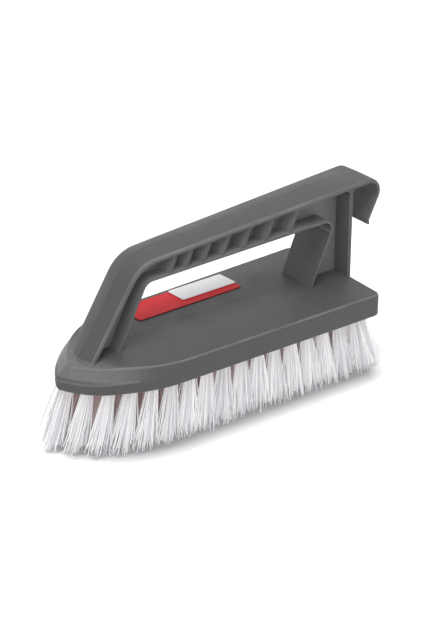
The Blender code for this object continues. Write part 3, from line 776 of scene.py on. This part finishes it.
def grow_tufts(name, tree, identifiers, places, values, nodes):
    """One mesh of every filament in these tufts, standing for the tufts' solids."""
    seeds = bpy.data.meshes.new(name + "_places")
    seeds.from_pydata([tuple(root) for root, _ in places], [], [])
    lean = seeds.attributes.new("lean", "FLOAT_VECTOR", "POINT")
    for item, (_, way) in zip(lean.data, places):
        item.vector = way
    source = link_new(name + "_source", seeds)
    modifier = source.modifiers.new("tufts", "NODES")
    modifier.node_group = tree
    for label, value in values.items():
        modifier[identifiers[label]] = value
    graph = bpy.context.evaluated_depsgraph_get()
    mesh = bpy.data.meshes.new_from_object(source.evaluated_get(graph))
    mesh.name = name
    source.modifiers.remove(modifier)
    bpy.data.objects.remove(source)
    for spare in ("root", "tip", "bow", "lean", "thick", "tuft"):
        if mesh.attributes.get(spare):
            mesh.attributes.remove(mesh.attributes[spare])
    item = link_new(name, mesh)
    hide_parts(*nodes)
    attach(item, "root")


def make_bristles(material, outer, inner):
    """The outer ring's tufts and the rows inside it."""
    tree, identifiers = make_bristle_tree()
    shared = {label: value for label, _, value in tuft_inputs}
    shared["Material"] = material
    own_inner = {"Filaments": inner_filaments, "Inner": 1.0, "Seed": inner_seed}
    for name, start, places, own in (
        ("outer_tufts", "outer_tuft", outer, {}),
        ("inner_tufts", "inner_tuft_row", inner, own_inner),
    ):
        nodes = [node for node in sorted(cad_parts) if node.startswith(start)]
        grow_tufts(name, tree, identifiers, places, {**shared, **own}, nodes)


def make_camera():
    """The photograph's own viewpoint."""
    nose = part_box("brush_body")[0]
    place = Vector((nose.x, 0, 0)) + camera_from_nose
    across, along = math.cos(camera_azimuth), math.sin(camera_azimuth)
    level, rise = math.cos(camera_elevation), math.sin(camera_elevation)
    right = Vector((across, along, 0))
    back = Vector((along * level, -across * level, rise))
    up = back.cross(right)
    camera = link_new("camera", bpy.data.cameras.new("camera"))
    turn = Matrix((right, up, back)).transposed().to_4x4()
    camera.matrix_world = Matrix.Translation(place) @ turn
    camera.data.sensor_fit = "AUTO"
    camera.data.sensor_width = sensor_size
    camera.data.lens = sensor_size * focal_pixels / frame_height_pixels
    camera.data.clip_start = nearest_view
    camera.data.clip_end = farthest_view
    bpy.context.scene.camera = camera


def pale_floor():
    """Matt floor, lifted to white away from the brush, and clear from below."""
    material = bpy.data.materials.new("pale_floor")
    material.use_nodes = True
    tree = material.node_tree
    tree.nodes.clear()
    output = tree.nodes.new("ShaderNodeOutputMaterial")
    light = tree.nodes.new("ShaderNodeLightPath").outputs
    seen = calc(tree, "MAXIMUM", light["Is Camera Ray"], light["Is Glossy Ray"])
    matt = add(tree, "ShaderNodeBsdfDiffuse", {"Color": mix_colour(tree, seen, floor_bounce, floor_seen)})
    reach = vector_calc(tree, "LENGTH", object_place(tree), output=1)
    lift = calc(tree, "ADD", near_lift, times(tree, ramp(tree, reach, lift_start, lift_full), far_lift))
    glow = add(tree, "ShaderNodeEmission", {"Color": white, "Strength": times(tree, seen, lift)})
    both = add(tree, "ShaderNodeAddShader", {0: matt.outputs[0], 1: glow.outputs[0]})
    below = tree.nodes.new("ShaderNodeNewGeometry").outputs["Backfacing"]
    clear = tree.nodes.new("ShaderNodeBsdfTransparent")
    sided = add(tree, "ShaderNodeMixShader", {0: below, 1: both.outputs[0], 2: clear.outputs[0]})
    tree.links.new(sided.outputs[0], output.inputs["Surface"])
    return material


def make_floor():
    """A plain pale floor that is white to the camera and keeps the brush's shadow."""
    mesh = bpy.data.meshes.new("floor")
    corners = ((-1, -1), (1, -1), (1, 1), (-1, 1))
    places = [(x * floor_half, y * floor_half, floor_height) for x, y in corners]
    mesh.from_pydata(places, [], [(0, 1, 2, 3)])
    mesh.materials.append(pale_floor())
    floor = link_new("floor", mesh)
    return floor


def make_world():
    """Even room light, white where the camera looks past the floor."""
    world = bpy.data.worlds.new("studio")
    bpy.context.scene.world = world
    world.use_nodes = True
    tree = world.node_tree
    tree.nodes.clear()
    output = tree.nodes.new("ShaderNodeOutputWorld")
    light = tree.nodes.new("ShaderNodeLightPath").outputs
    seen = calc(tree, "MAXIMUM", light["Is Camera Ray"], light["Is Transmission Ray"])
    seen = calc(tree, "MAXIMUM", seen, light["Is Glossy Ray"])
    room = add(tree, "ShaderNodeBackground", {"Color": white, "Strength": room_strength})
    backdrop = add(tree, "ShaderNodeBackground", {"Color": white, "Strength": 1.0})
    both = add(tree, "ShaderNodeMixShader", {0: seen, 1: room.outputs[0], 2: backdrop.outputs[0]})
    tree.links.new(both.outputs[0], output.inputs["Surface"])


def add_window(floor, name, place, size, power, floor_link):
    """A soft square lamp turned to the brush, which leaves the floor out or lights only the floor."""
    lamp = bpy.data.lights.new(name, "AREA")
    lamp.size = size
    lamp.energy = power
    item = link_new(name, lamp)
    item.location = place
    item.rotation_euler = Vector(place).to_track_quat("Z", "Y").to_euler()
    reach = bpy.data.collections.new(name + "_reach")
    reach.objects.link(floor)
    reach.collection_objects[0].light_linking.link_state = floor_link
    item.light_linking.receiver_collection = reach


grain_group = make_grain_group()
make_camera()
outer_places, inner_places = tuft_places()
make_body(grey_plastic(grain_group), outer_places, inner_places)
make_bristles(white_bristle(), outer_places, inner_places)
red_paper = paper("red_label_paper", grain_group, label_reds, label_fibre)
dress(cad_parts["paper_label"], red_paper)
white_paper = paper("white_sticker_paper", grain_group, sticker_whites, sticker_fibre)
dress(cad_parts["price_sticker"], white_paper)
floor = make_floor()
make_world()
for lamp in lamps:
    add_window(floor, *lamp)
bpy.context.scene.view_settings.view_transform = "Standard"
bpy.context.view_layer.update()
